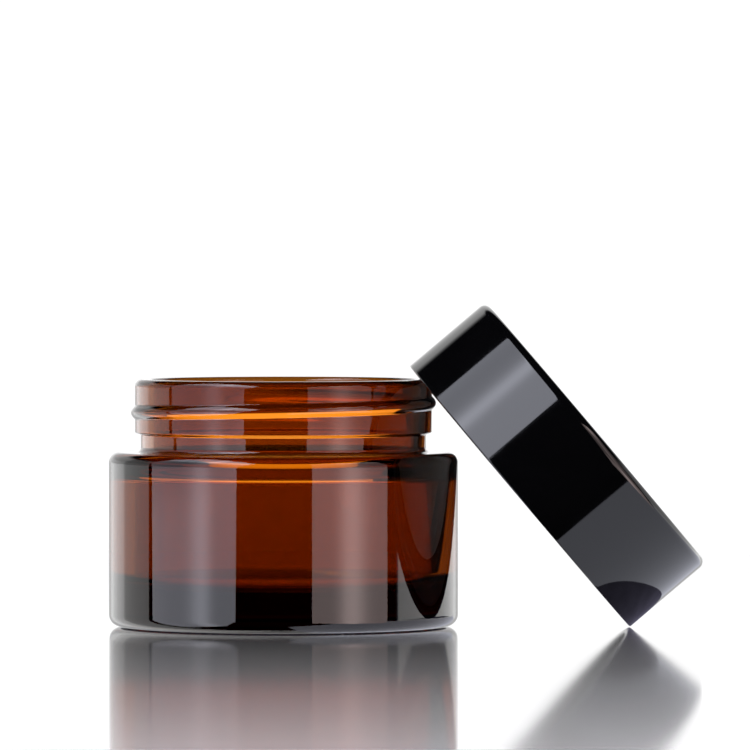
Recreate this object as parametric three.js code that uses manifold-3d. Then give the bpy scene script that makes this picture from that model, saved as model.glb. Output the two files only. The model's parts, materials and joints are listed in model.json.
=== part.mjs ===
// Cosmetic cream jar: a squat, thick-walled glass jar that stands open, and its
// double-walled screw cap, which stands on its edge and leans on the jar's front.
// Millimetres, +Z up. The origin is the centre of the jar's flat base.

import * as THREE from "three";
import { mergeVertices } from "three/addons/utils/BufferGeometryUtils.js";
import Module from "manifold-3d";

const wasm = await Module();
wasm.setup();

const FACETS = 48;
const ARC_POINTS = 2;
const WELD = 1e-4;

// Glass jar, outside
const BODY_RADIUS = 30;
const HEEL_FILLET = 2;
const SHOULDER_HEIGHT = 29.9;
const SHOULDER_FILLET = 1.8;
const NECK_RADIUS = 24.5;
const NECK_FILLET = 0.8;
const STEP_LOW = 32.8;
const STEP_HIGH = 33.35;
const FINISH_RADIUS = 25.5;
const RIM_HEIGHT = 42.4;
const LIP_OUTER_FILLET = 1.2;

// Glass jar, inside
const BORE_RADIUS = 22.4;
const LIP_INNER_FILLET = 0.8;
const BORE_END = 28.5;
const INNER_SHOULDER = 25;
const CAVITY_RADIUS = 25.5;
const FLOOR_THICKNESS = 6.5;
const FLOOR_FILLET = 3;

// Thread: one lead, right-handed, shared by jar and cap
const LEAD = 3.3;
const THREAD_MIDDLE_HEIGHT = 36.24;
const THREAD_MIDDLE_TURN = 0.5;
const THREAD_START = 1 / 6;
const THREAD_END = 4 / 3;
const THREAD_FADE = 1 / 9;
const THREAD_BURY = 0.5;
const THREAD_SINK = 0.3;
const BEAD_DEPTH = 0.7;
const BEAD_ROOT_WIDTH = 2;
const BEAD_CREST_WIDTH = 0.8;

// Screw cap, measured from its rim upwards
const CAP_RADIUS = 29.3;
const CAP_HEIGHT = 17.1;
const CAP_TOP_FILLET = 1.4;
const CAP_RIM_FILLET = 0.25;
const SHELL_WALL = 1.3;
const SHELL_TOP = 1.5;
const SHELL_INNER_FILLET = 0.8;
const INSERT_RADIUS = 27.4;
const INSERT_BORE = 26.5;
const INSERT_RECESS = 1.4;
const INSERT_CEILING = 13.3;
const INSERT_TOP = 1;
const INSERT_FILLET = 0.6;
const RIB_COUNT = 24;
const RIB_RADIUS = 27.7;
const RIB_WIDTH = 0.8;
const RIB_MARGIN = 0.8;
const CAP_BEAD_DEPTH = 0.65;
const CAP_BEAD_ROOT_WIDTH = 1.6;
const CAP_BEAD_CREST_WIDTH = 0.6;
const BEAD_SPACING = 1.75;
const LINER_RADIUS = 26;
const LINER_UNDERSIDE = 12;
const LINER_THICKNESS = 1;
const LINER_FILLET = 0.2;

// The closed cap's rim stands this far above the jar's base
const CLOSED_RIM_HEIGHT = RIM_HEIGHT - LINER_UNDERSIDE;

// Where the cap stands once it is off: on its edge, with its rim hooked over the jar's lip
const CAP_LEAN = THREE.MathUtils.degToRad(49.8);
const CAP_EDGE_X = 59.5;
const CAP_CENTRE_Y = -1;

const GLASS = new THREE.MeshStandardMaterial({ color: 0x5a2606, roughness: 0.04, metalness: 0 });
const BLACK_GLOSS = new THREE.MeshStandardMaterial({ color: 0x08080a, roughness: 0.1, metalness: 0 });
const BLACK_SATIN = new THREE.MeshStandardMaterial({ color: 0x101012, roughness: 0.4, metalness: 0 });
const WHITE_FOAM = new THREE.MeshStandardMaterial({ color: 0xe9e7e1, roughness: 0.8, metalness: 0 });

// Solids: closed three.js shapes in, joined or cut solids out

function weld(geometry) {
  geometry.deleteAttribute("normal");
  geometry.deleteAttribute("uv");
  const welded = mergeVertices(geometry, WELD);
  const corners = Array.from(welded.index.array);
  const kept = [];
  for (let i = 0; i < corners.length; i += 3) {
    const [a, b, c] = corners.slice(i, i + 3);
    if (a !== b && b !== c && c !== a) {
      kept.push(a, b, c);
    }
  }
  welded.setIndex(kept);
  return welded;
}

function solidOf(geometry) {
  const welded = weld(geometry);
  const vertProperties = new Float32Array(welded.attributes.position.array);
  const triVerts = new Uint32Array(welded.index.array);
  return new wasm.Manifold(new wasm.Mesh({ numProp: 3, vertProperties, triVerts }));
}

function geometryOf(solid) {
  const mesh = solid.getMesh();
  const geometry = new THREE.BufferGeometry();
  geometry.setAttribute("position", new THREE.BufferAttribute(mesh.vertProperties, 3));
  geometry.setIndex(Array.from(mesh.triVerts));
  return geometry;
}

function turned(outline) {
  const geometry = new THREE.LatheGeometry(outline.getPoints(ARC_POINTS), FACETS);
  geometry.rotateX(Math.PI / 2);
  return geometry;
}

function piece(name, geometry, material) {
  const mesh = new THREE.Mesh(geometry, material);
  mesh.name = name;
  return mesh;
}

// Corners of a turned outline, x being the radius and y the height

function outerCorner(outline, radius, height, fillet, rising) {
  const level = rising ? height - fillet : height + fillet;
  const start = rising ? 0 : -Math.PI / 2;
  outline.absarc(radius - fillet, level, fillet, start, start + Math.PI / 2, false);
}

function lipCorner(outline, radius, height, fillet) {
  outline.absarc(radius + fillet, height - fillet, fillet, Math.PI / 2, Math.PI, false);
}

// Thread bead: a straight bar of the bead's section, wound round the axis so that it climbs
// one lead a turn and sinks into the wall at both ends. Depth is negative for a bead that
// stands inwards from its wall.

function beadSection(depth, rootWidth, crestWidth) {
  const side = Math.sign(depth);
  const shoulder = 0.7 * depth;
  const shoulderWidth = 0.4 * rootWidth + 0.5 * crestWidth;
  const halves = [
    [-side * THREAD_BURY, rootWidth / 2],
    [0, rootWidth / 2],
    [shoulder, shoulderWidth / 2],
    [depth, crestWidth / 2],
  ];
  const section = new THREE.Shape();
  section.moveTo(halves[0][0], -halves[0][1]);
  for (const [offset, half] of halves.slice(1)) {
    section.lineTo(offset, -half);
  }
  for (const [offset, half] of halves.reverse()) {
    section.lineTo(offset, half);
  }
  section.closePath();
  return section;
}

function fadeAt(turn) {
  const fromEnd = Math.min(turn - THREAD_START, THREAD_END - turn);
  return THREE.MathUtils.smoothstep(fromEnd, 0, THREAD_FADE);
}

function threadBead(wallRadius, middleHeight, depth, rootWidth, crestWidth) {
  const turns = THREAD_END - THREAD_START;
  const steps = Math.round(turns * FACETS);
  const section = beadSection(depth, rootWidth, crestWidth);
  const bar = new THREE.ExtrudeGeometry(section, { steps, depth: 1, bevelEnabled: false });
  const points = bar.attributes.position;
  const side = Math.sign(depth);
  for (let i = 0; i < points.count; i += 1) {
    const turn = THREAD_END - points.getZ(i) * turns;
    const fade = fadeAt(turn);
    const proud = Math.max(points.getX(i) * side, 0) * fade;
    const sunk = THREAD_SINK * (1 - fade);
    const buried = Math.min(points.getX(i) * side, 0);
    const radius = wallRadius + side * (proud + buried - sunk);
    const angle = turn * 2 * Math.PI;
    const height = middleHeight + LEAD * (turn - THREAD_MIDDLE_TURN) + points.getY(i);
    points.setXYZ(i, radius * Math.cos(angle), radius * Math.sin(angle), height);
  }
  return solidOf(bar);
}

// Glass jar: body, neck, threaded finish and the cavity inside, in one blown piece

function jarOutline() {
  const outline = new THREE.Path();
  outline.moveTo(0, 0);
  outline.lineTo(BODY_RADIUS - HEEL_FILLET, 0);
  outerCorner(outline, BODY_RADIUS, 0, HEEL_FILLET, false);
  outerCorner(outline, BODY_RADIUS, SHOULDER_HEIGHT, SHOULDER_FILLET, true);
  const neckCentre = [NECK_RADIUS + NECK_FILLET, SHOULDER_HEIGHT + NECK_FILLET];
  outline.absarc(...neckCentre, NECK_FILLET, -Math.PI / 2, -Math.PI, true);
  outline.lineTo(NECK_RADIUS, STEP_LOW);
  outline.lineTo(FINISH_RADIUS, STEP_HIGH);
  outerCorner(outline, FINISH_RADIUS, RIM_HEIGHT, LIP_OUTER_FILLET, true);
  lipCorner(outline, BORE_RADIUS, RIM_HEIGHT, LIP_INNER_FILLET);
  outline.lineTo(BORE_RADIUS, BORE_END);
  const halfway = (BORE_END + INNER_SHOULDER) / 2;
  outline.bezierCurveTo(BORE_RADIUS, halfway, CAVITY_RADIUS, halfway, CAVITY_RADIUS, INNER_SHOULDER);
  const floorCentre = [CAVITY_RADIUS - FLOOR_FILLET, FLOOR_THICKNESS + FLOOR_FILLET];
  outline.absarc(...floorCentre, FLOOR_FILLET, 0, -Math.PI / 2, true);
  outline.lineTo(0, FLOOR_THICKNESS);
  return outline;
}

function glassJar() {
  const body = solidOf(turned(jarOutline()));
  const bead = threadBead(
    FINISH_RADIUS,
    THREAD_MIDDLE_HEIGHT,
    BEAD_DEPTH,
    BEAD_ROOT_WIDTH,
    BEAD_CREST_WIDTH,
  );
  return piece("glass_jar", geometryOf(body.add(bead)), GLASS);
}

// Cap shell: the glossy outer cup that the hand turns

function capShell() {
  const outline = new THREE.Path();
  const inner = CAP_RADIUS - SHELL_WALL;
  const rimInner = inner + CAP_RIM_FILLET;
  const ceiling = CAP_HEIGHT - SHELL_TOP;
  const cornerCentre = [inner - SHELL_INNER_FILLET, ceiling - SHELL_INNER_FILLET];
  outline.moveTo(0, ceiling);
  outline.lineTo(cornerCentre[0], ceiling);
  outline.absarc(...cornerCentre, SHELL_INNER_FILLET, Math.PI / 2, 0, true);
  outline.absarc(rimInner, CAP_RIM_FILLET, CAP_RIM_FILLET, Math.PI, 1.5 * Math.PI, false);
  outerCorner(outline, CAP_RADIUS, 0, CAP_RIM_FILLET, false);
  outerCorner(outline, CAP_RADIUS, CAP_HEIGHT, CAP_TOP_FILLET, true);
  outline.lineTo(0, CAP_HEIGHT);
  return piece("cap_shell", geometryOf(solidOf(turned(outline))), BLACK_GLOSS);
}

// Cap insert: the threaded inner cup, held in the shell by its upright ribs

function insertCup() {
  const outline = new THREE.Path();
  const top = INSERT_CEILING + INSERT_TOP;
  outline.moveTo(0, INSERT_CEILING);
  outline.lineTo(INSERT_BORE, INSERT_CEILING);
  outline.lineTo(INSERT_BORE, INSERT_RECESS);
  outline.lineTo(INSERT_RADIUS, INSERT_RECESS);
  outerCorner(outline, INSERT_RADIUS, top, INSERT_FILLET, true);
  outline.lineTo(0, top);
  return solidOf(turned(outline));
}

function insertRib(index) {
  const base = INSERT_RECESS + RIB_MARGIN;
  const height = INSERT_CEILING - RIB_MARGIN - base;
  const inner = (INSERT_RADIUS + INSERT_BORE) / 2;
  const rib = new THREE.BoxGeometry(RIB_RADIUS - inner, RIB_WIDTH, height);
  rib.translate((RIB_RADIUS + inner) / 2, 0, base + height / 2);
  rib.rotateZ((index / RIB_COUNT) * 2 * Math.PI);
  return solidOf(rib);
}

function capInsert() {
  let cup = insertCup();
  for (let i = 0; i < RIB_COUNT; i += 1) {
    cup = cup.add(insertRib(i));
  }
  const bead = threadBead(
    INSERT_BORE,
    THREAD_MIDDLE_HEIGHT - CLOSED_RIM_HEIGHT - BEAD_SPACING,
    -CAP_BEAD_DEPTH,
    CAP_BEAD_ROOT_WIDTH,
    CAP_BEAD_CREST_WIDTH,
  );
  return piece("cap_insert", geometryOf(cup.add(bead)), BLACK_SATIN);
}

// Cap liner: the loose foam wad that seals on the jar's lip

function capLiner() {
  const outline = new THREE.Path();
  outline.moveTo(0, LINER_UNDERSIDE);
  outline.lineTo(LINER_RADIUS - LINER_FILLET, LINER_UNDERSIDE);
  outerCorner(outline, LINER_RADIUS, LINER_UNDERSIDE, LINER_FILLET, false);
  outerCorner(outline, LINER_RADIUS, LINER_UNDERSIDE + LINER_THICKNESS, LINER_FILLET, true);
  outline.lineTo(0, LINER_UNDERSIDE + LINER_THICKNESS);
  return piece("cap_liner", geometryOf(solidOf(turned(outline))), WHITE_FOAM);
}

// The cap stands with the lowest point of its rim's rounded edge on the surface

function leaningCap() {
  const cap = new THREE.Group();
  const edge = CAP_RADIUS - CAP_RIM_FILLET;
  const sine = Math.sin(CAP_LEAN);
  const cosine = Math.cos(CAP_LEAN);
  const height = edge * sine - CAP_RIM_FILLET * cosine + CAP_RIM_FILLET;
  cap.add(capShell(), capInsert(), capLiner());
  cap.rotation.y = CAP_LEAN;
  cap.position.set(CAP_EDGE_X - CAP_RADIUS * cosine, CAP_CENTRE_Y, height);
  return cap;
}

const creamJar = new THREE.Group();
creamJar.add(glassJar(), leaningCap());

export default creamJar;
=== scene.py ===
"""Looks for the cosmetic cream jar: amber glass, a black double-walled cap and a plain studio.

Everything is in metres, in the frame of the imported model, with +Z up.
"""

import json
import math

import bmesh
import bpy
from mathutils import Matrix, Vector


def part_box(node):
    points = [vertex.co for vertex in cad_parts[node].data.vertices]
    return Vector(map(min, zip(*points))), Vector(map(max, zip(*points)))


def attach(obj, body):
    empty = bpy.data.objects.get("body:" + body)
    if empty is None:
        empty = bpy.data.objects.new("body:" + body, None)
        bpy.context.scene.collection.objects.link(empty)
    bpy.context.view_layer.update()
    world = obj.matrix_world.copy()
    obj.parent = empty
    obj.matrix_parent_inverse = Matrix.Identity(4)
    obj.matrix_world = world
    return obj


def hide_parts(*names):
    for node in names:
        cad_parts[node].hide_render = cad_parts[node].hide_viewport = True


bl_info = {
    "name": "Cosmetic Cream Jar",
    "version": (1, 0, 0),
    "blender": (4, 5, 0),
    "location": "View3D > Sidebar > Cream Jar",
    "description": "Builds the glass jar, its screw cap and a plain studio around the packed model",
    "category": "Object",
}

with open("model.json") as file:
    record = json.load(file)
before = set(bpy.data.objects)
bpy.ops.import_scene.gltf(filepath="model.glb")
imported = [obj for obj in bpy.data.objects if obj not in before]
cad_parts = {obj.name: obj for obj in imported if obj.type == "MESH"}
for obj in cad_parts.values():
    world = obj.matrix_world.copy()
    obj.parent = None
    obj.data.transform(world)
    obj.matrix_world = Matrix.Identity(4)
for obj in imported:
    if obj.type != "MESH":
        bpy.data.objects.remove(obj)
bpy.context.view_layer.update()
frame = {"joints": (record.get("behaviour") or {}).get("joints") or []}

MM = 0.001
FULL_TURN = 2 * math.pi
QUARTER = math.pi / 2


def joint(name):
    """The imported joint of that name."""
    return next(j for j in frame["joints"] if j["name"] == name)


JAR_LOW, JAR_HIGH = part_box("glass_jar")
BODY_RADIUS = (JAR_HIGH.x - JAR_LOW.x) / 2
RIM_HEIGHT = JAR_HIGH.z

CAP_AXIS = Vector(joint("cap_turn")["axis"]).normalized()
CAP_RIM_CENTRE = Vector(joint("cap_turn")["pos_m"])
CAP_LEAN = math.atan2(CAP_AXIS.x, CAP_AXIS.z)
CAP_PLACE = Matrix.Translation(CAP_RIM_CENTRE) @ Matrix.Rotation(CAP_LEAN, 4, "Y")

# The one thread that jar and cap share
THREAD_MIDDLE_TURN = 0.5
THREAD_START = 1 / 6
THREAD_END = 4 / 3
THREAD_FADE = 1 / 9
BEAD_SPACING = 1.75 * MM

# How far the knurl of the foot takes to fade in and out
GROOVE_FADE = 0.4 * MM


# Turned outlines


class Outline:
    """Points of a turned section, as radius and height, laid down from straights and arcs."""

    def __init__(self, radius, height):
        self.points = [(radius, height)]

    def line(self, radius, height, step, margin=0.12 * MM):
        """A straight whose rows stand at most step apart, with a close row at each end."""
        r0, z0 = self.points[-1]
        length = math.hypot(radius - r0, height - z0)
        shares = [1.0]
        if length > 4 * margin:
            inner = length - 2 * margin
            count = max(1, math.ceil(inner / step))
            shares = [(margin + inner * i / count) / length for i in range(count + 1)] + [1.0]
        for share in shares:
            self.points.append((r0 + (radius - r0) * share, z0 + (height - z0) * share))

    def arc(self, radius, height, fillet, start, end, steps):
        """An arc round the given centre, from angle start to angle end, in quarter turns."""
        for i in range(steps + 1):
            angle = (start + (end - start) * i / steps) * QUARTER
            point = (radius + fillet * math.cos(angle), height + fillet * math.sin(angle))
            if math.dist(point, self.points[-1]) > 1e-7:
                self.points.append(point)

    def ease(self, radius, height, steps):
        """An S-shaped run to a new radius, upright at both ends."""
        r0, z0 = self.points[-1]
        for i in range(1, steps + 1):
            t = i / steps
            share = t * t * (3 - 2 * t)
            self.points.append((r0 + (radius - r0) * share, z0 + (height - z0) * t))


def turned_mesh(name, points, segments):
    """A closed smooth mesh, turned round Z from an outline that starts and ends on the axis."""
    bm = bmesh.new()
    rings = []
    for radius, height in points:
        if radius < 1e-7:
            rings.append([bm.verts.new((0, 0, height))])
            continue
        ring = []
        for i in range(segments):
            angle = FULL_TURN * i / segments
            ring.append(bm.verts.new((radius * math.cos(angle), radius * math.sin(angle), height)))
        rings.append(ring)
    for low, high in zip(rings, rings[1:]):
        for i in range(segments):
            j = (i + 1) % segments
            corners = [low[i % len(low)], low[j % len(low)], high[j % len(high)], high[i % len(high)]]
            bm.faces.new(list(dict.fromkeys(corners)))
    bmesh.ops.recalc_face_normals(bm, faces=bm.faces)
    for face in bm.faces:
        face.smooth = True
    mesh = bpy.data.meshes.new(name)
    bm.to_mesh(mesh)
    bm.free()
    return mesh


def new_piece(name, mesh):
    """A new object at the origin that shows the mesh."""
    piece = bpy.data.objects.new(name, mesh)
    bpy.context.scene.collection.objects.link(piece)
    return piece


def settle(piece, place, body, node, material):
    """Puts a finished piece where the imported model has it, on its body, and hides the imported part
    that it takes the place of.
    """
    piece.data.transform(place)
    piece.data.materials.clear()
    piece.data.materials.append(material)
    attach(piece, body)
    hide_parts(node)


# Node trees


class Tree:
    """Short ways to add and join nodes in one node tree."""

    def __init__(self, tree):
        self.tree = tree

    def node(self, kind, settings=None, **inputs):
        """A new node, with its settings, and its inputs set or linked by name."""
        made = self.tree.nodes.new(kind)
        for name, value in (settings or {}).items():
            setattr(made, name, value)
        for name, value in inputs.items():
            self.feed(made.inputs[name.replace("_", " ")], value)
        return made

    def feed(self, socket, value):
        """Links an output, or sets a plain value."""
        if isinstance(value, bpy.types.NodeSocket):
            self.tree.links.new(value, socket)
        else:
            socket.default_value = value

    def sum(self, operation, *values):
        """One Math node's result."""
        made = self.tree.nodes.new("ShaderNodeMath")
        made.operation = operation
        for socket, value in zip(made.inputs, values):
            self.feed(socket, value)
        return made.outputs[0]

    def rise(self, value, low, high):
        """0 below low, 1 above high and a smooth step between them."""
        made = self.node("ShaderNodeMapRange", {"interpolation_type": "SMOOTHSTEP"})
        self.feed(made.inputs["Value"], value)
        self.feed(made.inputs["From Min"], low)
        self.feed(made.inputs["From Max"], high)
        return made.outputs["Result"]

    def spread(self, value, low, high):
        """A value from 0 to 1, spread over low to high."""
        made = self.node("ShaderNodeMapRange")
        self.feed(made.inputs["Value"], value)
        self.feed(made.inputs["To Min"], low)
        self.feed(made.inputs["To Max"], high)
        return made.outputs["Result"]


def geometry_tree(name, inputs):
    """A Geometry Nodes tree with the named inputs, each a name, a kind and a default."""
    tree = bpy.data.node_groups.new(name, "GeometryNodeTree")
    tree.interface.new_socket("Geometry", in_out="INPUT", socket_type="NodeSocketGeometry")
    for label, kind, default in inputs:
        socket = tree.interface.new_socket(label, in_out="INPUT", socket_type=f"NodeSocket{kind}")
        if default is not None:
            socket.default_value = default
    tree.interface.new_socket("Geometry", in_out="OUTPUT", socket_type="NodeSocketGeometry")
    return Tree(tree), tree.nodes.new("NodeGroupInput").outputs


def end_tree(t, geometry, material):
    """Ends a tree in Realize Instances and Set Material."""
    real = t.node("GeometryNodeRealizeInstances", Geometry=geometry)
    painted = t.node("GeometryNodeSetMaterial", Geometry=real.outputs[0], Material=material)
    out = t.tree.nodes.new("NodeGroupOutput")
    t.feed(out.inputs[0], painted.outputs[0])
    return t.tree


def grow(piece, tree, values):
    """Runs a tree on a piece with the given inputs, and keeps the result as its plain mesh."""
    modifier = piece.modifiers.new(tree.name, "NODES")
    modifier.node_group = tree
    for item in tree.interface.items_tree:
        if item.in_out == "INPUT" and item.name in values:
            modifier[item.identifier] = values[item.name]
    bpy.context.view_layer.update()
    seen = piece.evaluated_get(bpy.context.evaluated_depsgraph_get())
    mesh = bpy.data.meshes.new_from_object(seen)
    piece.modifiers.remove(modifier)
    old = piece.data
    piece.data = mesh
    bpy.data.meshes.remove(old)


def thread_tree():
    """Raises a helical bead out of a round wall, or into it where the depth is negative."""
    t, given = geometry_tree(
        "Thread Bead",
        [
            ("Wall Radius", "Float", 0.0255),
            ("Depth", "Float", 0.0007),
            ("Root Width", "Float", 0.0025),
            ("Lead", "Float", 0.0033),
            ("Middle Height", "Float", 0.036),
            ("Start Turn", "Float", THREAD_START),
            ("End Turn", "Float", THREAD_END),
            ("Fade Turns", "Float", THREAD_FADE),
            ("Material", "Material", None),
        ],
    )
    place = t.node("ShaderNodeSeparateXYZ", Vector=t.node("GeometryNodeInputPosition").outputs[0])
    x, y, z = place.outputs
    radius = t.sum("SQRT", t.sum("ADD", t.sum("MULTIPLY", x, x), t.sum("MULTIPLY", y, y)))
    around = t.sum("FRACT", t.sum("DIVIDE", t.sum("ARCTAN2", y, x), FULL_TURN))
    beads = []
    for lap in (0, 1):
        turn = t.sum("ADD", around, lap)
        climb = t.sum("MULTIPLY", given["Lead"], t.sum("SUBTRACT", turn, THREAD_MIDDLE_TURN))
        middle = t.sum("ADD", given["Middle Height"], climb)
        away = t.sum("ABSOLUTE", t.sum("SUBTRACT", z, middle))
        share = t.sum("DIVIDE", away, t.sum("MULTIPLY", given["Root Width"], 0.5))
        section = t.sum("MAXIMUM", t.sum("SUBTRACT", 1.0, t.sum("MULTIPLY", share, share)), 0.0)
        begun = t.sum("ADD", given["Start Turn"], given["Fade Turns"])
        ending = t.sum("SUBTRACT", given["End Turn"], given["Fade Turns"])
        rising = t.rise(turn, given["Start Turn"], begun)
        falling = t.sum("SUBTRACT", 1.0, t.rise(turn, ending, given["End Turn"]))
        beads.append(t.sum("MULTIPLY", section, t.sum("MULTIPLY", rising, falling)))
    bead = t.sum("MAXIMUM", *beads)
    from_wall = t.sum("ABSOLUTE", t.sum("SUBTRACT", radius, given["Wall Radius"]))
    on_wall = t.sum("LESS_THAN", from_wall, 0.02 * MM)
    push = t.sum("MULTIPLY", t.sum("MULTIPLY", bead, on_wall), given["Depth"])
    share = t.sum("DIVIDE", push, radius)
    offset = t.node("ShaderNodeCombineXYZ")
    t.feed(offset.inputs["X"], t.sum("MULTIPLY", x, share))
    t.feed(offset.inputs["Y"], t.sum("MULTIPLY", y, share))
    moved = t.node(
        "GeometryNodeSetPosition",
        Geometry=given["Geometry"],
        Offset=offset.outputs[0],
    )
    return end_tree(t, moved.outputs[0], given["Material"])


def foot_tree():
    """Cuts short radial grooves into the ring that a jar stands on."""
    t, given = geometry_tree(
        "Knurled Foot",
        [
            ("Inner Radius", "Float", 0.0245),
            ("Outer Radius", "Float", 0.0275),
            ("Groove Depth", "Float", 0.00012),
            ("Groove Count", "Int", 90),
            ("Material", "Material", None),
        ],
    )
    place = t.node("ShaderNodeSeparateXYZ", Vector=t.node("GeometryNodeInputPosition").outputs[0])
    x, y, z = place.outputs
    radius = t.sum("SQRT", t.sum("ADD", t.sum("MULTIPLY", x, x), t.sum("MULTIPLY", y, y)))
    angle = t.sum("MULTIPLY", t.sum("ARCTAN2", y, x), given["Groove Count"])
    wave = t.sum("MULTIPLY", t.sum("SUBTRACT", 1.0, t.sum("COSINE", angle)), 0.5)
    inner, outer = given["Inner Radius"], given["Outer Radius"]
    past_inner = t.rise(radius, inner, t.sum("ADD", inner, GROOVE_FADE))
    past_outer = t.rise(radius, t.sum("SUBTRACT", outer, GROOVE_FADE), outer)
    ring = t.sum("MULTIPLY", past_inner, t.sum("SUBTRACT", 1.0, past_outer))
    under = t.sum("LESS_THAN", z, 0.3 * MM)
    depth = t.sum("MULTIPLY", t.sum("MULTIPLY", ring, under), given["Groove Depth"])
    offset = t.node("ShaderNodeCombineXYZ")
    t.feed(offset.inputs["Z"], t.sum("MULTIPLY", wave, depth))
    moved = t.node("GeometryNodeSetPosition", Geometry=given["Geometry"], Offset=offset.outputs[0])
    return end_tree(t, moved.outputs[0], given["Material"])


def rib_tree():
    """Stands short upright ribs round a cup, a little way into its wall."""
    t, given = geometry_tree(
        "Upright Ribs",
        [
            ("Rib Count", "Int", 24),
            ("Ring Radius", "Float", 0.0271),
            ("Rib Depth", "Float", 0.0006),
            ("Rib Width", "Float", 0.0008),
            ("Rib Height", "Float", 0.0103),
            ("Foot Height", "Float", 0.0022),
            ("Material", "Material", None),
        ],
    )
    ring = t.node("GeometryNodeMeshCircle", Vertices=given["Rib Count"], Radius=given["Ring Radius"])
    size = t.node("ShaderNodeCombineXYZ")
    for axis, label in zip("XYZ", ("Rib Depth", "Rib Width", "Rib Height")):
        t.feed(size.inputs[axis], given[label])
    block = t.node("GeometryNodeMeshCube", Size=size.outputs[0])
    place = t.node("ShaderNodeSeparateXYZ", Vector=t.node("GeometryNodeInputPosition").outputs[0])
    turn = t.node("ShaderNodeCombineXYZ")
    t.feed(turn.inputs["Z"], t.sum("ARCTAN2", place.outputs["Y"], place.outputs["X"]))
    ribs = t.node("GeometryNodeInstanceOnPoints")
    t.feed(ribs.inputs["Points"], ring.outputs[0])
    t.feed(ribs.inputs["Instance"], block.outputs[0])
    t.feed(ribs.inputs["Rotation"], turn.outputs[0])
    lift = t.node("ShaderNodeCombineXYZ")
    half = t.sum("MULTIPLY", given["Rib Height"], 0.5)
    t.feed(lift.inputs["Z"], t.sum("ADD", given["Foot Height"], half))
    raised = t.node("GeometryNodeTransform", Geometry=ribs.outputs[0], Translation=lift.outputs[0])
    joined = t.node("GeometryNodeJoinGeometry")
    t.feed(joined.inputs[0], given["Geometry"])
    t.feed(joined.inputs[0], raised.outputs[0])
    return end_tree(t, joined.outputs[0], given["Material"])


# Materials

AMBER_SKIN = (0.52, 0.2, 0.045, 1)
GLASS_IOR = 1.52


def new_material(name):
    """A node material with a Principled shader, its tree helper and that shader."""
    material = bpy.data.materials.new(name)
    material.use_nodes = True
    t = Tree(material.node_tree)
    shader = next(n for n in material.node_tree.nodes if n.type == "BSDF_PRINCIPLED")
    return material, t, shader


def own_place(t, turn=(0, 0, 0), scale=(1, 1, 1), centre=(0, 0, 0)):
    """Object coordinates, turned into a piece's own direction and stretched."""
    coordinates = t.node("ShaderNodeTexCoord").outputs["Object"]
    mapping = t.node("ShaderNodeMapping", {"vector_type": "TEXTURE"}, Vector=coordinates)
    mapping.inputs["Location"].default_value = centre
    mapping.inputs["Rotation"].default_value = turn
    mapping.inputs["Scale"].default_value = scale
    return mapping.outputs[0]


def cap_place(t, scale=(1, 1, 1)):
    """Object coordinates measured from the cap's rim, along and across its own axis."""
    return own_place(t, (0, CAP_LEAN, 0), scale, CAP_RIM_CENTRE)


def bump(t, height, strength, distance):
    """A bumped normal."""
    made = t.node("ShaderNodeBump", Height=height, Strength=strength, Distance=distance)
    return made.outputs[0]


def amber_glass(colour, density):
    """Clear amber glass, smooth, with the faint waves of a blown wall."""
    material, t, shader = new_material("amber_glass")
    waves = t.node("ShaderNodeTexNoise", Vector=own_place(t), Scale=70.0, Detail=0.0)
    haze = t.node("ShaderNodeTexNoise", Vector=own_place(t), Scale=120.0, Detail=1.0)
    shader.inputs["Base Color"].default_value = AMBER_SKIN
    shader.inputs["IOR"].default_value = GLASS_IOR
    shader.inputs["Transmission Weight"].default_value = 1.0
    t.feed(shader.inputs["Roughness"], t.spread(haze.outputs["Fac"], 0.0, 0.004))
    t.feed(shader.inputs["Normal"], bump(t, waves.outputs["Fac"], 0.12, 0.04 * MM))
    absorption = t.node("ShaderNodeVolumeAbsorption", Color=(*colour, 1), Density=density)
    output = next(n for n in material.node_tree.nodes if n.type == "OUTPUT_MATERIAL")
    t.feed(output.inputs["Volume"], absorption.outputs[0])
    return material


def black_gloss(colour):
    """Polished black plastic with hairline streaks along the cap's axis."""
    material, t, shader = new_material("black_gloss")
    streaks = t.node("ShaderNodeTexNoise", Vector=cap_place(t, (1, 1, 60)), Scale=2600.0, Detail=2.0)
    cloud = t.node("ShaderNodeTexNoise", Vector=cap_place(t), Scale=120.0, Detail=4.0)
    dust = t.node("ShaderNodeTexVoronoi", Vector=cap_place(t), Scale=260.0)
    specks = t.sum("SUBTRACT", 1.0, t.rise(dust.outputs["Distance"], 0.02, 0.05))
    tint = t.node("ShaderNodeMix", {"data_type": "RGBA"})
    tint.inputs["A"].default_value = (*colour, 1)
    tint.inputs["B"].default_value = (*[c * 1.8 for c in colour], 1)
    t.feed(tint.inputs["Factor"], cloud.outputs["Fac"])
    t.feed(shader.inputs["Base Color"], tint.outputs["Result"])
    rough = t.sum("MAXIMUM", cloud.outputs["Fac"], specks)
    t.feed(shader.inputs["Roughness"], t.spread(rough, 0.02, 0.09))
    t.feed(shader.inputs["Normal"], bump(t, streaks.outputs["Fac"], 0.15, 0.01 * MM))
    return material


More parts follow.
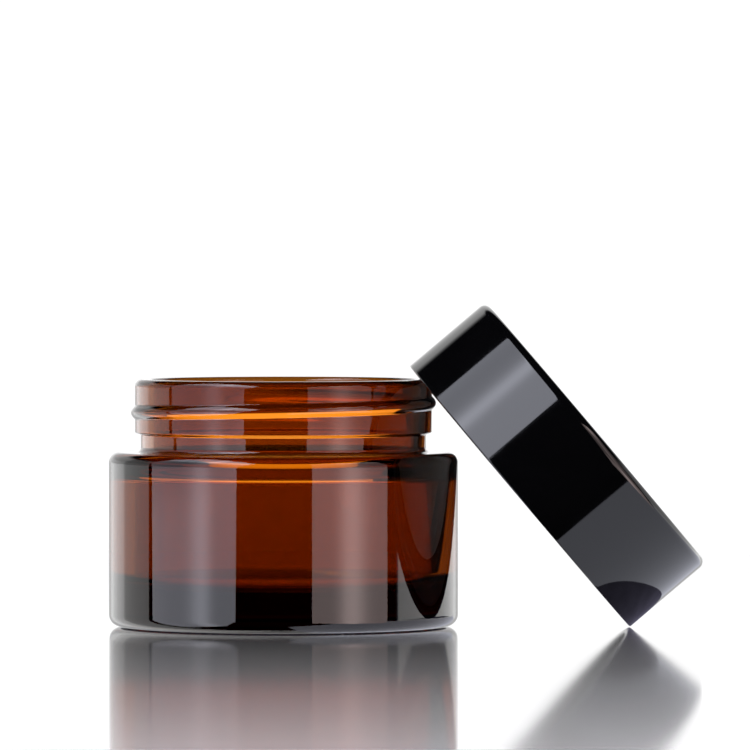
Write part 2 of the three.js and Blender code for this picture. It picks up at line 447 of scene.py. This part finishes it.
def black_satin(colour):
    """Moulded black plastic with a fine spark grain."""
    material, t, shader = new_material("black_satin")
    grain = t.node("ShaderNodeTexNoise", Vector=cap_place(t), Scale=4000.0, Detail=3.0)
    cloud = t.node("ShaderNodeTexNoise", Vector=cap_place(t), Scale=150.0, Detail=2.0)
    tint = t.node("ShaderNodeMix", {"data_type": "RGBA"})
    tint.inputs["A"].default_value = (*colour, 1)
    tint.inputs["B"].default_value = (*[c * 1.6 for c in colour], 1)
    t.feed(tint.inputs["Factor"], cloud.outputs["Fac"])
    t.feed(shader.inputs["Base Color"], tint.outputs["Result"])
    t.feed(shader.inputs["Roughness"], t.spread(cloud.outputs["Fac"], 0.3, 0.5))
    t.feed(shader.inputs["Normal"], bump(t, grain.outputs["Fac"], 0.3, 0.02 * MM))
    return material


def white_foam(colour):
    """Closed-cell foam: tiny pits in a soft white skin, with painted shade darkening the pits."""
    material, t, shader = new_material("white_foam")
    cells = t.node("ShaderNodeTexVoronoi", Vector=cap_place(t), Scale=2200.0)
    cloud = t.node("ShaderNodeTexNoise", Vector=cap_place(t), Scale=200.0, Detail=5.0)
    # Painted shade: the colour darkens in the pits that the bump dents, and the cloud blotches it at
    # random.
    pits = t.rise(cells.outputs["Distance"], 0.1, 0.6)
    tint = t.node("ShaderNodeMix", {"data_type": "RGBA"})
    tint.inputs["A"].default_value = (*[c * 0.86 for c in colour], 1)
    tint.inputs["B"].default_value = (*colour, 1)
    t.feed(tint.inputs["Factor"], t.sum("MULTIPLY", pits, t.spread(cloud.outputs["Fac"], 0.8, 1.2)))
    t.feed(shader.inputs["Base Color"], tint.outputs["Result"])
    t.feed(shader.inputs["Roughness"], t.spread(cloud.outputs["Fac"], 0.65, 0.85))
    t.feed(shader.inputs["Normal"], bump(t, pits, 0.5, 0.05 * MM))
    return material


# Settings


def length(name, description, default):
    """A length in metres that a user would change."""
    return bpy.props.FloatProperty(
        name=name, description=description, default=default, min=0.0, unit="LENGTH", precision=5
    )


def shade(name, description, default):
    """A colour that a user would change."""
    return bpy.props.FloatVectorProperty(
        name=name, description=description, default=default, min=0.0, max=1.0, size=3, subtype="COLOR"
    )


class JarSettings(bpy.types.PropertyGroup):
    """Sizes and colour of the glass jar."""

    body_radius: length("Body Radius", "Outside radius of the straight body", BODY_RADIUS)
    rim_height: length("Rim Height", "Height of the lip above the base", RIM_HEIGHT)
    shoulder_height: length("Shoulder Height", "Height of the flat shoulder", 29.9 * MM)
    neck_radius: length("Neck Radius", "Radius of the groove under the finish", 24.5 * MM)
    finish_radius: length("Finish Radius", "Radius that the thread stands on", 25.5 * MM)
    bore_radius: length("Bore Radius", "Inside radius of the mouth", 22.4 * MM)
    cavity_radius: length("Cavity Radius", "Inside radius of the body", 25.5 * MM)
    floor_thickness: length("Floor Thickness", "Glass under the cavity", 6.5 * MM)
    lead: length("Thread Lead", "Climb of the thread in one turn", 3.3 * MM)
    bead_depth: length("Bead Depth", "How far the thread stands out", 0.7 * MM)
    thread_height: length("Thread Height", "Height of the thread half a turn round", 36.64 * MM)
    segments: bpy.props.IntProperty(
        name="Segments", description="Facets round the jar", default=360, min=24, max=400
    )
    glass_colour: shade("Glass Colour", "Tint that the glass takes on with depth", (0.89, 0.82, 0.5))
    glass_density: bpy.props.FloatProperty(
        name="Glass Density", description="How fast the tint deepens, per metre", default=1000.0, min=0.0
    )


class CapSettings(bpy.types.PropertyGroup):
    """Sizes and colours of the screw cap, measured from its rim."""

    radius: length("Cap Radius", "Outside radius of the shell", 29.3 * MM)
    height: length("Cap Height", "Height of the shell", 17.1 * MM)
    shell_wall: length("Shell Wall", "Wall of the outer shell", 1.3 * MM)
    insert_bore: length("Insert Bore", "Inside radius of the threaded insert", 26.5 * MM)
    insert_radius: length("Insert Radius", "Outside radius of the threaded insert", 27.4 * MM)
    liner_radius: length("Liner Radius", "Radius of the foam liner", 26.0 * MM)
    liner_underside: length("Liner Underside", "Height of the liner's face above the rim", 12.0 * MM)
    segments: bpy.props.IntProperty(
        name="Segments", description="Facets round the cap", default=256, min=24, max=400
    )
    shell_colour: shade("Shell Colour", "Colour of the outer shell", (0.0008, 0.0008, 0.001))
    insert_colour: shade("Insert Colour", "Colour of the threaded insert", (0.04, 0.04, 0.043))
    liner_colour: shade("Liner Colour", "Colour of the foam liner", (0.86, 0.85, 0.82))


class StageSettings(bpy.types.PropertyGroup):
    """Camera and light of the plain studio."""

    camera_distance: length("Camera Distance", "From the jar's axis to the lens", 1.35)
    camera_height: length("Camera Height", "Height of the lens above the floor", 0.068)
    aim_across: length("Aim Across", "Where the view is centred, across", 15.73 * MM)
    aim_height: length("Aim Height", "Where the view is centred, upwards", 43.1 * MM)
    view_width: length("View Width", "Width of the view at the jar's axis", 128.9 * MM)
    box_light: bpy.props.FloatProperty(
        name="Softbox Light", description="Brightness of the two softboxes", default=1.0, min=0.0
    )
    back_light: bpy.props.FloatProperty(
        name="Back Light", description="Brightness of the wall behind", default=1.9, min=0.0
    )
    side_light: bpy.props.FloatProperty(
        name="Side Light", description="Brightness of the walls beside", default=1.1, min=0.0
    )


# The glass jar

HEEL_FILLET = 2.0 * MM
SHOULDER_FILLET = 1.8 * MM
NECK_FILLET = 0.8 * MM
STEP_LOW = 32.8 * MM
STEP_HIGH = 33.35 * MM
LIP_OUTER_FILLET = 1.2 * MM
LIP_INNER_FILLET = 0.8 * MM
BORE_END = 28.5 * MM
INNER_SHOULDER = 25.0 * MM
FLOOR_FILLET = 3.0 * MM
PUSH_UP = 0.35 * MM
BEAD_ROOT_WIDTH = 2.3 * MM


def jar_outline(s):
    """The jar's section, from the middle of its base round to the middle of its floor."""
    o = Outline(0, PUSH_UP)
    o.line(20 * MM, PUSH_UP, 3 * MM)
    o.line(22 * MM, 0, 0.4 * MM)
    o.line(s.body_radius - HEEL_FILLET, 0, 0.5 * MM)
    o.arc(s.body_radius - HEEL_FILLET, HEEL_FILLET, HEEL_FILLET, -1, 0, 12)
    o.line(s.body_radius, s.shoulder_height - SHOULDER_FILLET, 1.6 * MM)
    top = s.shoulder_height - SHOULDER_FILLET
    o.arc(s.body_radius - SHOULDER_FILLET, top, SHOULDER_FILLET, 0, 1, 12)
    o.line(s.neck_radius + NECK_FILLET, s.shoulder_height, 0.6 * MM)
    o.arc(s.neck_radius + NECK_FILLET, s.shoulder_height + NECK_FILLET, NECK_FILLET, -1, -2, 8)
    o.line(s.neck_radius, STEP_LOW, 0.6 * MM)
    o.ease(s.finish_radius, STEP_HIGH, 10)
    o.line(s.finish_radius, s.rim_height - LIP_OUTER_FILLET, 0.13 * MM)
    outer = s.finish_radius - LIP_OUTER_FILLET
    o.arc(outer, s.rim_height - LIP_OUTER_FILLET, LIP_OUTER_FILLET, 0, 1, 12)
    o.line(s.bore_radius + LIP_INNER_FILLET, s.rim_height, 0.5 * MM)
    inner = s.bore_radius + LIP_INNER_FILLET
    o.arc(inner, s.rim_height - LIP_INNER_FILLET, LIP_INNER_FILLET, 1, 2, 8)
    o.line(s.bore_radius, BORE_END, 1.2 * MM)
    o.ease(s.cavity_radius, INNER_SHOULDER, 20)
    o.line(s.cavity_radius, s.floor_thickness + FLOOR_FILLET, 1.4 * MM)
    floor = s.floor_thickness + FLOOR_FILLET
    o.arc(s.cavity_radius - FLOOR_FILLET, floor, FLOOR_FILLET, 0, -1, 12)
    o.line(0, s.floor_thickness, 2.5 * MM)
    return o.points


class JAR_OT_glass_jar(bpy.types.Operator):
    """Build the glass jar with its thread and knurled foot"""

    bl_idname = "cream_jar.glass_jar"
    bl_label = "Glass Jar"

    def execute(self, context):
        s = context.scene.cream_jar
        material = amber_glass(s.glass_colour, s.glass_density)
        jar = new_piece("amber_glass_jar", turned_mesh("amber_glass_jar", jar_outline(s), s.segments))
        grow(
            jar,
            thread_tree(),
            {
                "Wall Radius": s.finish_radius,
                "Depth": s.bead_depth,
                "Root Width": BEAD_ROOT_WIDTH,
                "Lead": s.lead,
                "Middle Height": s.thread_height,
                "Material": material,
            },
        )
        grow(jar, foot_tree(), {"Groove Count": s.segments // 4, "Material": material})
        settle(jar, Matrix.Identity(4), "jar", "glass_jar", material)
        return {"FINISHED"}


# The screw cap

CAP_TOP_FILLET = 1.4 * MM
CAP_RIM_FILLET = 0.25 * MM
SHELL_TOP = 1.5 * MM
SHELL_INNER_FILLET = 0.8 * MM
INSERT_RECESS = 1.4 * MM
INSERT_CEILING = 13.3 * MM
INSERT_TOP = 1.0 * MM
INSERT_FILLET = 0.6 * MM
INSERT_EDGE = 0.15 * MM
RIB_DEPTH = 0.6 * MM
RIB_PROUD = 0.3 * MM
CAP_BEAD_DEPTH = 0.65 * MM
CAP_BEAD_ROOT_WIDTH = 1.6 * MM
LINER_THICKNESS = 1.0 * MM
LINER_FILLET = 0.2 * MM
LIP_MARK_DEPTH = 0.1 * MM


def shell_outline(s):
    """The shell's section, from the middle of its ceiling round to the middle of its top."""
    inner = s.radius - s.shell_wall
    ceiling = s.height - SHELL_TOP
    o = Outline(0, ceiling)
    o.line(inner - SHELL_INNER_FILLET, ceiling, 3 * MM)
    corner = ceiling - SHELL_INNER_FILLET
    o.arc(inner - SHELL_INNER_FILLET, corner, SHELL_INNER_FILLET, 1, 0, 8)
    o.line(inner, CAP_RIM_FILLET, 1.5 * MM)
    o.arc(inner + CAP_RIM_FILLET, CAP_RIM_FILLET, CAP_RIM_FILLET, 2, 3, 6)
    o.line(s.radius - CAP_RIM_FILLET, 0, 0.4 * MM, 0.05 * MM)
    o.arc(s.radius - CAP_RIM_FILLET, CAP_RIM_FILLET, CAP_RIM_FILLET, -1, 0, 6)
    o.line(s.radius, s.height - CAP_TOP_FILLET, 1.2 * MM)
    top = s.height - CAP_TOP_FILLET
    o.arc(s.radius - CAP_TOP_FILLET, top, CAP_TOP_FILLET, 0, 1, 12)
    o.line(0, s.height, 3 * MM)
    return o.points


def insert_outline(s):
    """The insert's section, from the middle of its ceiling round to the middle of its top."""
    top = INSERT_CEILING + INSERT_TOP
    o = Outline(0, INSERT_CEILING)
    o.line(s.insert_bore, INSERT_CEILING, 3 * MM)
    o.line(s.insert_bore, INSERT_RECESS + INSERT_EDGE, 0.13 * MM)
    o.arc(s.insert_bore + INSERT_EDGE, INSERT_RECESS + INSERT_EDGE, INSERT_EDGE, 2, 3, 4)
    o.line(s.insert_radius - INSERT_EDGE, INSERT_RECESS, 0.3 * MM, 0.04 * MM)
    o.arc(s.insert_radius - INSERT_EDGE, INSERT_RECESS + INSERT_EDGE, INSERT_EDGE, -1, 0, 4)
    o.line(s.insert_radius, top - INSERT_FILLET, 2 * MM)
    o.arc(s.insert_radius - INSERT_FILLET, top - INSERT_FILLET, INSERT_FILLET, 0, 1, 6)
    o.line(0, top, 3 * MM)
    return o.points


def liner_outline(s, lip_inner, lip_outer):
    """The liner's section, with the shallow ring that the jar's lip has pressed in its face."""
    low = s.liner_underside
    high = low + LINER_THICKNESS
    pressed = low + LIP_MARK_DEPTH
    o = Outline(0, low)
    o.line(lip_inner - 0.3 * MM, low, 2 * MM)
    o.line(lip_inner + 0.3 * MM, pressed, 0.2 * MM, 0.05 * MM)
    o.line(lip_outer - 0.3 * MM, pressed, 0.5 * MM)
    o.line(lip_outer, low, 0.2 * MM, 0.05 * MM)
    o.line(s.liner_radius - LINER_FILLET, low, 0.3 * MM, 0.04 * MM)
    o.arc(s.liner_radius - LINER_FILLET, low + LINER_FILLET, LINER_FILLET, -1, 0, 5)
    o.line(s.liner_radius, high - LINER_FILLET, 0.3 * MM, 0.05 * MM)
    o.arc(s.liner_radius - LINER_FILLET, high - LINER_FILLET, LINER_FILLET, 0, 1, 5)
    o.line(0, high, 3 * MM)
    return o.points


class JAR_OT_cap_shell(bpy.types.Operator):
    """Build the glossy outer shell of the cap"""

    bl_idname = "cream_jar.cap_shell"
    bl_label = "Cap Shell"

    def execute(self, context):
        s = context.scene.cream_jar_cap
        mesh = turned_mesh("gloss_cap_shell", shell_outline(s), s.segments)
        shell = new_piece("gloss_cap_shell", mesh)
        settle(shell, CAP_PLACE, "cap", "cap_shell", black_gloss(s.shell_colour))
        return {"FINISHED"}


class JAR_OT_cap_insert(bpy.types.Operator):
    """Build the threaded insert of the cap, with its upright ribs"""

    bl_idname = "cream_jar.cap_insert"
    bl_label = "Cap Insert"

    def execute(self, context):
        s = context.scene.cream_jar_cap
        jar = context.scene.cream_jar
        material = black_satin(s.insert_colour)
        mesh = turned_mesh("satin_cap_insert", insert_outline(s), s.segments)
        insert = new_piece("satin_cap_insert", mesh)
        closed_rim = jar.rim_height - s.liner_underside
        grow(
            insert,
            thread_tree(),
            {
                "Wall Radius": s.insert_bore,
                "Depth": -CAP_BEAD_DEPTH,
                "Root Width": CAP_BEAD_ROOT_WIDTH,
                "Lead": jar.lead,
                "Middle Height": jar.thread_height - closed_rim - BEAD_SPACING,
                "Material": material,
            },
        )
        grow(
            insert,
            rib_tree(),
            {
                "Ring Radius": s.insert_radius + RIB_PROUD - RIB_DEPTH / 2,
                "Rib Depth": RIB_DEPTH,
                "Material": material,
            },
        )
        settle(insert, CAP_PLACE, "cap", "cap_insert", material)
        return {"FINISHED"}


class JAR_OT_cap_liner(bpy.types.Operator):
    """Build the foam liner of the cap"""

    bl_idname = "cream_jar.cap_liner"
    bl_label = "Cap Liner"

    def execute(self, context):
        s = context.scene.cream_jar_cap
        jar = context.scene.cream_jar
        points = liner_outline(s, jar.bore_radius, jar.finish_radius)
        liner = new_piece("foam_cap_liner", turned_mesh("foam_cap_liner", points, s.segments))
        settle(liner, CAP_PLACE, "liner", "cap_liner", white_foam(s.liner_colour))
        return {"FINISHED"}


# The studio

FLOOR_SIZE = 6.0
FLOOR_DROP = 0.15 * MM
ROOM_LIGHT = 1.08
CEILING_LIGHT = 2.5

# Where the two softboxes stand, corner by corner, and the tint of their light
LEFT_CORNERS = [(-0.45, -0.53, -0.5), (-0.45, -0.04, -0.5), (-0.45, 0.153, 1.0), (-0.45, -1.3, 1.0)]
RIGHT_CORNERS = [(0.293, -0.851, -0.2), (0.569, -0.193, -0.2), (0.569, -0.193, 0.5), (0.293, -0.851, 0.5)]
COOL_LIGHT = (0.86, 0.88, 1.0)
WARM_LIGHT = (1.0, 0.8, 0.78)

# The low card's middle, half its width, its two ends and its brightness
LOW_MIDDLE = Vector((0.44, 0, -0.43))
LOW_ACROSS = Vector((0.763, 0, 0.646)) * 0.5
LOW_FRONT = Vector((0, -0.81, 0))
LOW_BACK = Vector((0, 1.5, 0))
LOW_LIGHT = 1.35

# Middle, half width and half depth of the dark patch that the cap stands over
CAP_SHADE = (58 * MM, 12 * MM, 24 * MM)


def card(name, corners, colour):
    """A flat glowing card that shows in gloss but not to the camera, its tree and its glow."""
    mesh = bpy.data.meshes.new(name)
    mesh.from_pydata(corners, [], [tuple(range(len(corners)))])
    piece = new_piece(name, mesh)
    material = bpy.data.materials.new(name)
    material.use_nodes = True
    t = Tree(material.node_tree)
    material.node_tree.nodes.clear()
    glow = t.node("ShaderNodeEmission", Color=(*colour, 1))
    t.node("ShaderNodeOutputMaterial", Surface=glow.outputs[0])
    mesh.materials.append(material)
    piece.visible_camera = piece.visible_shadow = False
    return t, glow


def stripe(t, along, middle, width):
    """A soft bright stripe across a card, 1 in its middle."""
    off = t.sum("DIVIDE", t.sum("SUBTRACT", along, middle), width)
    return t.sum("POWER", math.e, t.sum("MULTIPLY", t.sum("MULTIPLY", off, off), -1.0))


def skirt(t, z):
    """Dims a card from the floor up to 0.35 m, where the floor would mirror it."""
    band = t.sum("SUBTRACT", t.rise(z, 0.0, 0.03), t.rise(z, 0.35, 0.45))
    return t.sum("MULTIPLY_ADD", band, -0.6, 1.0)


def left_softbox(strength):
    """The tall softbox at the left, brighter in a stripe and towards its top."""
    t, glow = card("left_softbox", LEFT_CORNERS, COOL_LIGHT)
    place = t.node("ShaderNodeSeparateXYZ", Vector=t.node("ShaderNodeTexCoord").outputs["Object"])
    bright = stripe(t, place.outputs["Y"], -0.33, 0.09)
    high = t.rise(place.outputs["Z"], 0.1, 0.6)
    forward = t.rise(place.outputs["Y"], 0.0, -0.45)
    plain = t.sum("MULTIPLY_ADD", t.sum("MULTIPLY", forward, high), 0.8, 1.4)
    level = t.sum("MULTIPLY_ADD", bright, 1.3, plain)
    tall = t.sum("MULTIPLY", t.sum("MULTIPLY_ADD", high, 0.5, 1.7), skirt(t, place.outputs["Z"]))
    t.feed(glow.inputs["Strength"], t.sum("MULTIPLY", t.sum("MULTIPLY", level, tall), strength))


def right_softbox(strength):
    """The softbox at the right, in front of the jar."""
    t, glow = card("right_softbox", RIGHT_CORNERS, WARM_LIGHT)
    place = t.node("ShaderNodeSeparateXYZ", Vector=t.node("ShaderNodeTexCoord").outputs["Object"])
    bright = stripe(t, place.outputs["Y"], -0.45, 0.1)
    level = t.sum("MULTIPLY", t.sum("MULTIPLY_ADD", bright, 2.9, 2.1), skirt(t, place.outputs["Z"]))
    t.feed(glow.inputs["Strength"], t.sum("MULTIPLY", level, strength))


def low_card(strength):
    """The card that fills the lower side of the cap's gloss, from below the floor."""
    front, back = LOW_MIDDLE + LOW_FRONT, LOW_MIDDLE + LOW_BACK
    corners = [front - LOW_ACROSS, back - LOW_ACROSS, back + LOW_ACROSS, front + LOW_ACROSS]
    _, glow = card("low_card", corners, COOL_LIGHT)
    glow.inputs["Strength"].default_value = LOW_LIGHT * strength


def white_room(back_light, side_light):
    """A white room, brighter overhead through glass. Gloss sees only its walls behind and beside."""
    world = bpy.data.worlds.new("studio")
    bpy.context.scene.world = world
    world.use_nodes = True
    t = Tree(world.node_tree)
    sky = next(n for n in world.node_tree.nodes if n.type == "BACKGROUND")
    sky.inputs["Color"].default_value = (1, 1, 1, 1)
    way = t.node("ShaderNodeSeparateXYZ", Vector=t.node("ShaderNodeTexCoord").outputs["Generated"])
    x, y, z = way.outputs
    level = t.sum("SQRT", t.sum("ADD", t.sum("MULTIPLY", x, x), t.sum("MULTIPLY", y, y)))
    behind = t.sum("DIVIDE", y, level)
    right = t.sum("GREATER_THAN", x, 0.0)
    beside = t.rise(t.sum("MULTIPLY_ADD", right, 0.305, behind), 0.155, 0.17)
    backdrop = t.rise(t.sum("MULTIPLY_ADD", right, 0.78, behind), 0.6, 0.68)
    wall = t.sum("MULTIPLY_ADD", backdrop, back_light - side_light, t.sum("MULTIPLY", beside, side_light))
    above = t.rise(z, -0.01, 0.01)
    under = t.sum("MULTIPLY", t.rise(behind, 0.9, 0.98), t.sum("SUBTRACT", 1.0, above))
    dim_under = t.sum("MULTIPLY_ADD", under, -0.6, 1.0)
    over = t.sum("MULTIPLY_ADD", above, 0.38, t.sum("MULTIPLY", t.rise(z, 0.12, 0.2), 0.15))
    dim_over = t.sum("SUBTRACT", 1.0, over)
    low = t.sum("SUBTRACT", 1.0, t.rise(z, 0.4, 0.5))
    seen = t.sum("MULTIPLY", t.sum("MULTIPLY", wall, low), t.sum("MULTIPLY", dim_under, dim_over))
    path = t.node("ShaderNodeLightPath").outputs
    glossy = path["Is Glossy Ray"]
    ceiling = t.sum("MULTIPLY", t.rise(z, 0.1, 0.2), path["Is Transmission Ray"])
    seen = t.sum("MULTIPLY_ADD", seen, glossy, t.sum("MULTIPLY", ceiling, CEILING_LIGHT))
    other = t.sum("SUBTRACT", 1.0, glossy)
    t.feed(sky.inputs["Strength"], t.sum("MULTIPLY_ADD", other, ROOM_LIGHT, seen))


def contact_shade(name, middle, across, deep, level):
    """A dark patch just under the floor, seen only in the gloss of the piece above it."""
    bm = bmesh.new()
    bmesh.ops.create_circle(bm, cap_ends=True, segments=96, radius=1.0)
    mesh = bpy.data.meshes.new(name)
    bm.to_mesh(mesh)
    bm.free()
    size = Matrix.Diagonal((across, deep, 1, 1))
    mesh.transform(Matrix.Translation((middle, 0, -FLOOR_DROP * 1.3)) @ size)
    piece = new_piece(name, mesh)
    material = bpy.data.materials.new(name)
    material.use_nodes = True
    t = Tree(material.node_tree)
    material.node_tree.nodes.clear()
    cloud = t.node("ShaderNodeTexNoise", Vector=own_place(t), Scale=300.0)
    dark = t.node("ShaderNodeEmission", Color=(0.72, 0.68, 1, 1))
    t.feed(dark.inputs["Strength"], t.spread(cloud.outputs["Fac"], level * 0.7, level * 1.3))
    t.node("ShaderNodeOutputMaterial", Surface=dark.outputs[0])
    mesh.materials.append(material)
    piece.visible_camera = piece.visible_diffuse = False
    piece.visible_transmission = piece.visible_shadow = False


def floor():
    """A pale floor, polished round the object, that mirrors at a shallow glance, with painted shade that
    darkens it towards the object.
    """
    half = FLOOR_SIZE / 2
    mesh = bpy.data.meshes.new("floor")
    corners = [(-half, -half), (half, -half), (half, half), (-half, half)]
    mesh.from_pydata([(x, y, -FLOOR_DROP) for x, y in corners], [], [(0, 1, 2, 3)])
    piece = new_piece("floor", mesh)
    material = bpy.data.materials.new("pale_floor")
    material.use_nodes = True
    t = Tree(material.node_tree)
    material.node_tree.nodes.clear()
    place = own_place(t)
    cloud = t.node("ShaderNodeTexNoise", Vector=place, Scale=6.0, Detail=3.0)
    polish = t.node("ShaderNodeBsdfAnisotropic", Color=(0.95, 0.95, 0.95, 1))
    t.feed(polish.inputs["Roughness"], t.spread(cloud.outputs["Fac"], 0.05, 0.08))
    away = t.node("ShaderNodeVectorMath", {"operation": "LENGTH"})
    t.feed(away.inputs[0], place)
    near = t.sum("MAXIMUM", t.sum("MULTIPLY_ADD", away.outputs["Value"], -0.95, 0.985), 0.0)
    # Painted shade: the matt colour darkens from 0.95 far out to 0.4 round the object.
    matt = t.node("ShaderNodeBsdfDiffuse")
    t.feed(matt.inputs["Color"], t.spread(t.rise(away.outputs["Value"], 0.04, 0.6), 0.4, 0.95))
    glance = t.rise(t.node("ShaderNodeLayerWeight", Blend=0.5).outputs["Facing"], 0.7, 0.93)
    both = t.node("ShaderNodeMixShader")
    t.feed(both.inputs["Fac"], t.sum("MULTIPLY", near, glance))
    t.feed(both.inputs[1], matt.outputs[0])
    t.feed(both.inputs[2], polish.outputs[0])
    t.node("ShaderNodeOutputMaterial", Surface=both.outputs[0])
    mesh.materials.append(material)
    piece.visible_glossy = False


def camera(s):
    """A long lens, level with the lip and a little above it."""
    lens = bpy.data.cameras.new("camera")
    piece = bpy.data.objects.new("camera", lens)
    bpy.context.scene.collection.objects.link(piece)
    eye = Vector((s.aim_across, -s.camera_distance, s.camera_height))
    aim = Vector((s.aim_across, 0, s.aim_height))
    piece.location = eye
    piece.rotation_euler = (aim - eye).to_track_quat("-Z", "Y").to_euler()
    lens.sensor_width = 36
    lens.lens = lens.sensor_width * (aim - eye).length / s.view_width
    lens.clip_start, lens.clip_end = 0.01, 100
    bpy.context.scene.camera = piece


class JAR_OT_stage(bpy.types.Operator):
    """Build the floor, the softboxes, the lit wall and the camera"""

    bl_idname = "cream_jar.stage"
    bl_label = "Studio"

    def execute(self, context):
        s = context.scene.cream_jar_stage
        white_room(s.back_light, s.side_light)
        floor()
        heel = context.scene.cream_jar.body_radius - HEEL_FILLET
        contact_shade("jar_contact_shade", 0.0, heel, heel, 0.02)
        contact_shade("cap_contact_shade", *CAP_SHADE, 0.22)
        left_softbox(s.box_light)
        right_softbox(s.box_light)
        low_card(s.box_light)
        camera(s)
        context.scene.view_settings.view_transform = "Standard"
        return {"FINISHED"}


# The panel, and the classes' registration


class JAR_PT_panel(bpy.types.Panel):
    """Sizes, colours and buttons of the cream jar"""

    bl_idname = "JAR_PT_panel"
    bl_label = "Cream Jar"
    bl_space_type = "VIEW_3D"
    bl_region_type = "UI"
    bl_category = "Cream Jar"

    def draw(self, context):
        for settings, steps in PANEL_ROWS:
            box = self.layout.box()
            group = getattr(context.scene, settings)
            for key in group.__annotations__:
                box.prop(group, key)
            for step in steps:
                box.operator(step.bl_idname)


PANEL_ROWS = (
    ("cream_jar", (JAR_OT_glass_jar,)),
    ("cream_jar_cap", (JAR_OT_cap_shell, JAR_OT_cap_insert, JAR_OT_cap_liner)),
    ("cream_jar_stage", (JAR_OT_stage,)),
)
SETTINGS = {"cream_jar": JarSettings, "cream_jar_cap": CapSettings, "cream_jar_stage": StageSettings}
CLASSES = (
    JarSettings,
    CapSettings,
    StageSettings,
    JAR_OT_glass_jar,
    JAR_OT_cap_shell,
    JAR_OT_cap_insert,
    JAR_OT_cap_liner,
    JAR_OT_stage,
    JAR_PT_panel,
)


def register():
    """Adds the classes, and the settings to the scene."""
    for kind in CLASSES:
        bpy.utils.register_class(kind)
    for key, group in SETTINGS.items():
        setattr(bpy.types.Scene, key, bpy.props.PointerProperty(type=group))


def unregister():
    """Takes the settings and the classes away again."""
    for key in SETTINGS:
        delattr(bpy.types.Scene, key)
    for kind in reversed(CLASSES):
        bpy.utils.unregister_class(kind)


def main():
    """Registers the add-on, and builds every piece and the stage."""
    register()
    bpy.ops.cream_jar.glass_jar()
    bpy.ops.cream_jar.cap_shell()
    bpy.ops.cream_jar.cap_insert()
    bpy.ops.cream_jar.cap_liner()
    bpy.ops.cream_jar.stage()


if __name__ == "__main__":
    main()
